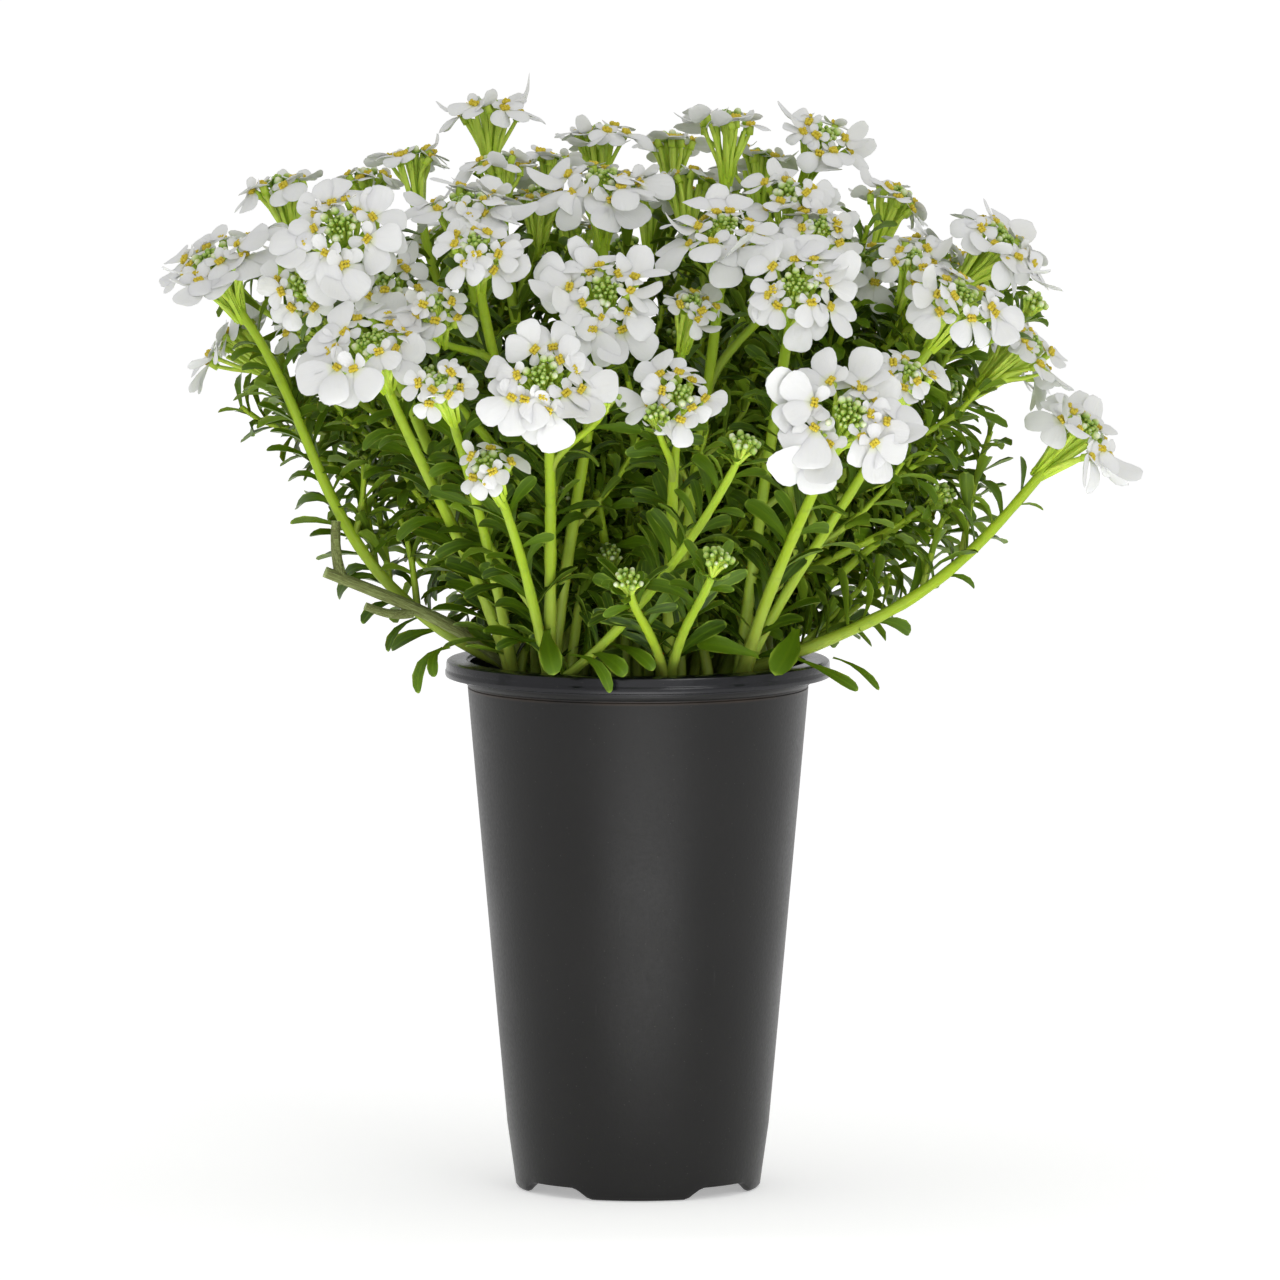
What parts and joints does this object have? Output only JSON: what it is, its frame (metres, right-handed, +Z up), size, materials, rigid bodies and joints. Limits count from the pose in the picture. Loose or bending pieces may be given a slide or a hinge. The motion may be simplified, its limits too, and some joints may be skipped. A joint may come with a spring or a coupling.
{
  "type": "potted candytuft",
  "caption": "Evergreen candytuft in full white bloom in a tall round nursery pot: leafy stems fan out of the soil to a wide dome of flower heads. Stands by itself.",
  "frame": {"origin": "centre of the base, on the surface that the pot's feet stand on", "axes": "+Z up along the pot's axis, -Y towards the front of the picture, +X to its right"},
  "size_m": [0.2983, 0.2514, 0.338],
  "materials": {
    "pot_plastic": "satin black with a soft vertical sheen",
    "soil": "dark, coarse and dry",
    "leaf_green": "dark glossy leaves on yellow-green stems",
    "petal_white": "soft white petals round pale green buds"
  },
  "bodies": {
    "root": {"pot": "pot_plastic", "soil": "soil", "head_01": "petal_white", "head_02": "petal_white", "head_03": "petal_white", "head_04": "petal_white", "head_05": "petal_white", "head_06": "petal_white", "head_07": "petal_white", "head_08": "petal_white", "head_09": "petal_white", "head_10": "petal_white", "head_11": "petal_white", "head_12": "petal_white", "head_13": "petal_white", "head_14": "petal_white", "head_15": "petal_white", "head_16": "petal_white", "head_17": "petal_white", "head_18": "petal_white", "head_19": "petal_white", "head_20": "petal_white", "head_21": "petal_white", "head_22": "petal_white", "head_23": "petal_white", "head_24": "petal_white", "head_25": "petal_white", "head_26": "petal_white", "head_27": "petal_white", "head_28": "petal_white", "head_29": "petal_white", "head_30": "petal_white", "head_31": "petal_white", "head_32": "petal_white", "head_33": "petal_white", "head_34": "petal_white", "head_35": "petal_white", "head_36": "petal_white", "head_37": "petal_white", "head_38": "petal_white", "head_39": "petal_white", "head_40": "petal_white", "head_41": "petal_white", "head_42": "petal_white", "head_43": "petal_white", "head_44": "petal_white", "spray_01": "leaf_green", "spray_02": "leaf_green", "spray_03": "leaf_green", "spray_04": "leaf_green", "spray_05": "leaf_green", "spray_06": "leaf_green", "spray_07": "leaf_green", "spray_08": "leaf_green", "spray_09": "leaf_green", "spray_10": "leaf_green", "spray_11": "leaf_green", "spray_12": "leaf_green", "spray_13": "leaf_green", "spray_14": "leaf_green"}
  },
  "joints": []
}
